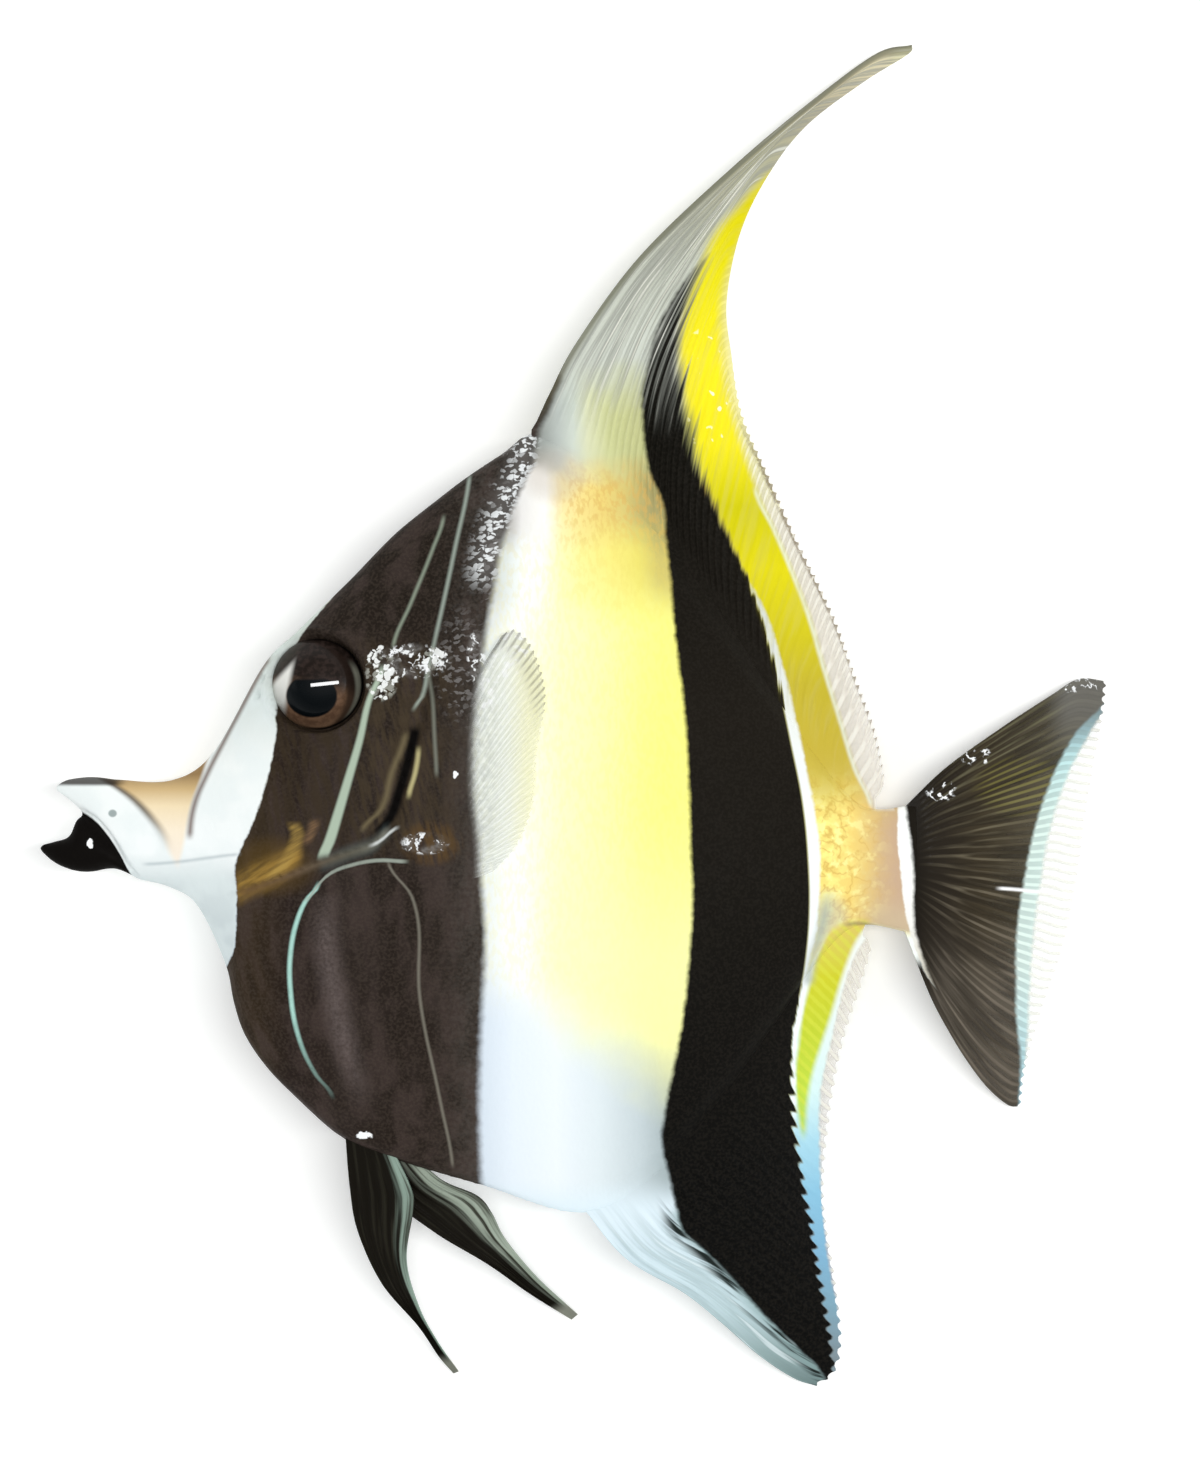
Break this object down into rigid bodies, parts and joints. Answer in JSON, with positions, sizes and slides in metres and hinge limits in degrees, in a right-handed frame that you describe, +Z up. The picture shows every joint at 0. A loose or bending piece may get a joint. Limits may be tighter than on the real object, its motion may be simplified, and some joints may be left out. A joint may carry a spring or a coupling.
{
  "type": "moorish idol fish",
  "caption": "Life-size moorish idol lying on its side: disc-shaped body, tubular snout with open jaws, long sweeping dorsal fin, black bands on white and yellow.",
  "frame": {"origin": "centre of the bounding box, at the level of the floor that the fish lies on", "axes": "+Z up, out of the fish's left flank; +X towards the tail; +Y towards the dorsal streamer"},
  "size_m": [0.1022, 0.1296, 0.0156],
  "materials": {
    "dark_skin": "wet, finely scaled brown-black skin",
    "pale_yellow_skin": "wet, finely scaled white to lemon skin with black bands",
    "golden_skin": "wet, finely scaled golden skin",
    "white_lip": "smooth wet skin",
    "black_lip": "smooth wet skin",
    "yellow_fin": "thin fin skin over raised rays",
    "grey_fin": "thin fin skin over raised rays",
    "black_fin": "thin fin skin over raised rays",
    "clear_fin": "thin clear fin skin over raised rays",
    "eye": "clear wet cornea over a brown iris"
  },
  "bodies": {
    "root": {"head": "dark_skin", "gill_cover_left": "dark_skin", "gill_cover_right": "dark_skin", "body": "pale_yellow_skin", "tail_stalk": "golden_skin", "upper_jaw": "white_lip", "lower_jaw": "black_lip", "eye_left": "eye", "eye_right": "eye", "dorsal_streamer": "grey_fin", "dorsal_fin": "yellow_fin", "anal_fin": "black_fin", "tail_fin": "black_fin", "pelvic_fin_left": "black_fin", "pelvic_fin_right": "black_fin", "pectoral_fin_left": "clear_fin", "pectoral_fin_right": "clear_fin"}
  },
  "joints": []
}
